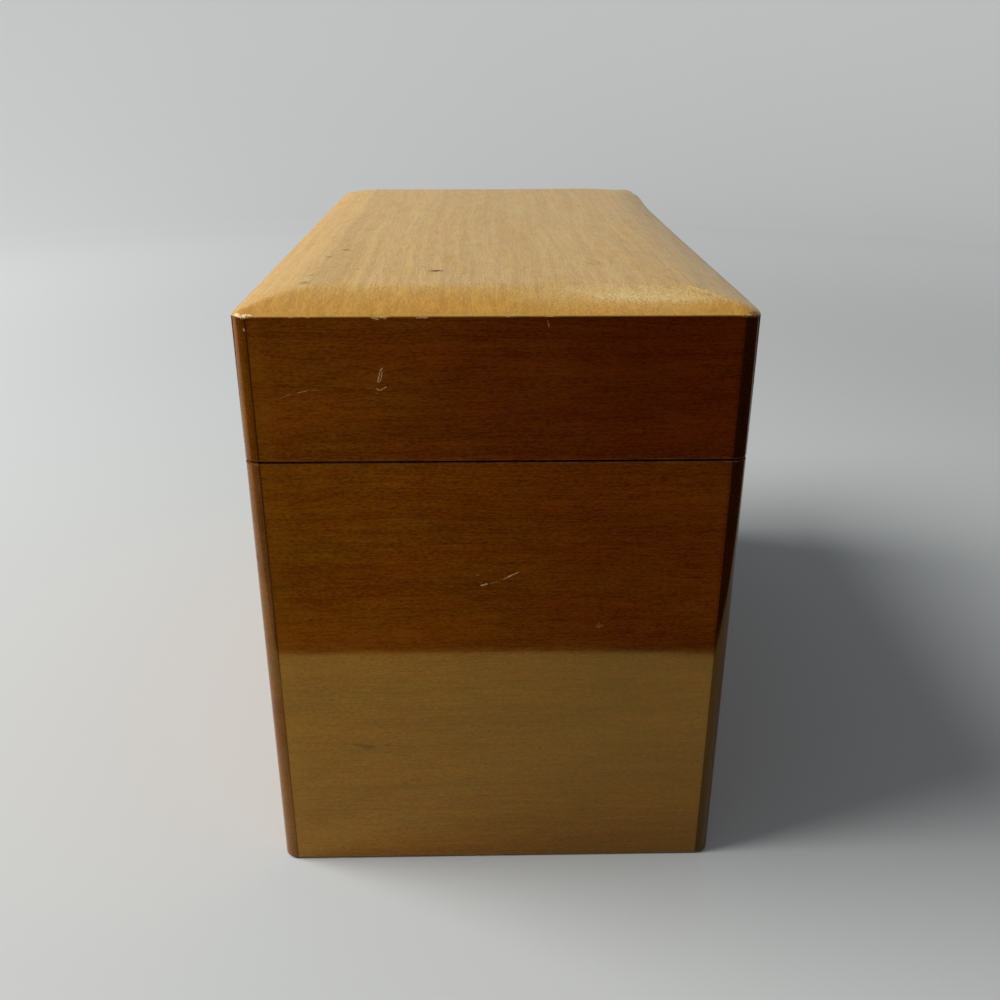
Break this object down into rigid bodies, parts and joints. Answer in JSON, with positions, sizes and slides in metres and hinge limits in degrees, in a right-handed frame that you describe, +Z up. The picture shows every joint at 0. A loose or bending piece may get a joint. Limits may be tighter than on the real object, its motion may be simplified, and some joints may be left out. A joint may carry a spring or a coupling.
{
  "type": "recipe card box",
  "caption": "Oblong wooden card box with lock-rabbeted corners and a bevelled lid, sawn from the same boards and hung on brass butt hinges at the back.",
  "frame": {"origin": "middle of the underside of the wooden case, on the surface that it stands on", "axes": "+Z up, +Y along the length from the right end to the left end, +X to the back, where the hinges are"},
  "size_m": [0.0851, 0.149, 0.1086],
  "materials": {
    "side_wood": "amber varnish, semi-gloss",
    "end_wood": "amber varnish, semi-gloss",
    "top_wood": "honey varnish, satin",
    "base_wood": "thin varnish, satin",
    "brad_steel": "dulled",
    "hinge_brass": "rolled, slightly tarnished",
    "pin_brass": "drawn",
    "screw_brass": "turned"
  },
  "bodies": {
    "case": {"front_board": "side_wood", "back_board": "side_wood", "right_end_board": "end_wood", "left_end_board": "end_wood", "base_panel": "base_wood", "base_brads": "brad_steel", "right_hinge_case_leaf": "hinge_brass", "left_hinge_case_leaf": "hinge_brass", "right_hinge_pin": "pin_brass", "left_hinge_pin": "pin_brass", "right_hinge_case_screws": "screw_brass", "left_hinge_case_screws": "screw_brass"},
    "lid": {"lid_front_rail": "side_wood", "lid_back_rail": "side_wood", "lid_right_end_rail": "end_wood", "lid_left_end_rail": "end_wood", "lid_top_panel": "top_wood", "right_hinge_lid_leaf": "hinge_brass", "left_hinge_lid_leaf": "hinge_brass", "right_hinge_lid_screws": "screw_brass", "left_hinge_lid_screws": "screw_brass"}
  },
  "joints": [
    {"name": "lid_hinge", "type": "hinge", "parent": "case", "child": "lid", "pos_m": [0.04265, 0, 0.082], "axis": [0, 1, 0], "range_deg": [0, 180]}
  ]
}
